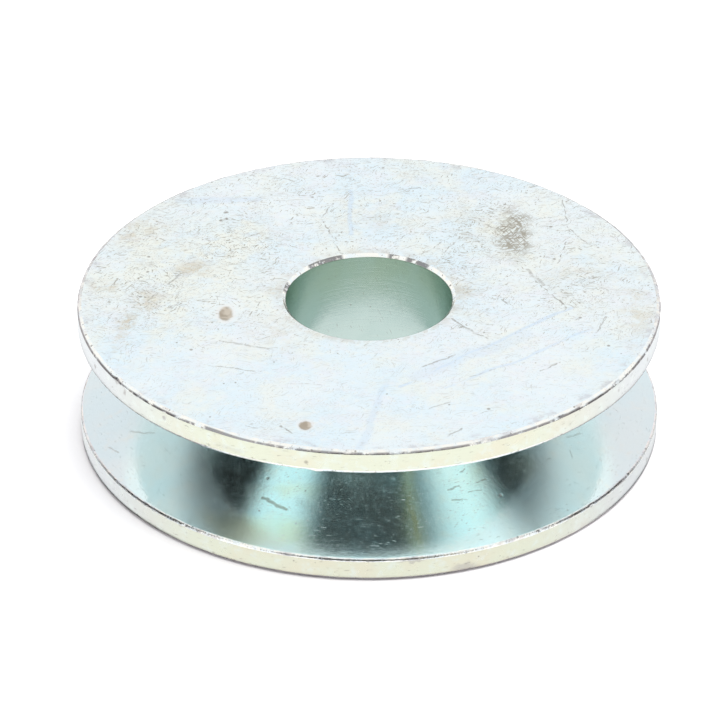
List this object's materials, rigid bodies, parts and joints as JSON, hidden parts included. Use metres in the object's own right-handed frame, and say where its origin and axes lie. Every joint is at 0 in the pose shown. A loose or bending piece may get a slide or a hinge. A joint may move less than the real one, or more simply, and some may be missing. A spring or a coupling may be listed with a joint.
{
  "type": "v belt pulley",
  "caption": "One-piece turned steel V belt pulley with a belt groove around its rim and a plain bore.",
  "frame": {"origin": "on the bore's axis, halfway between the two flat faces, in the middle plane of the belt groove", "axes": "+Z along the bore's axis; the belt runs in the XY plane; the pulley looks the same turned about Z or upside down"},
  "size_m": [0.077, 0.077, 0.0194],
  "materials": {
    "zinc_plated_steel": "turned steel, zinc plated with a clear blue passivate, satin, with small handling nicks and scratches"
  },
  "bodies": {
    "root": {"pulley_body": "zinc_plated_steel"}
  },
  "joints": []
}
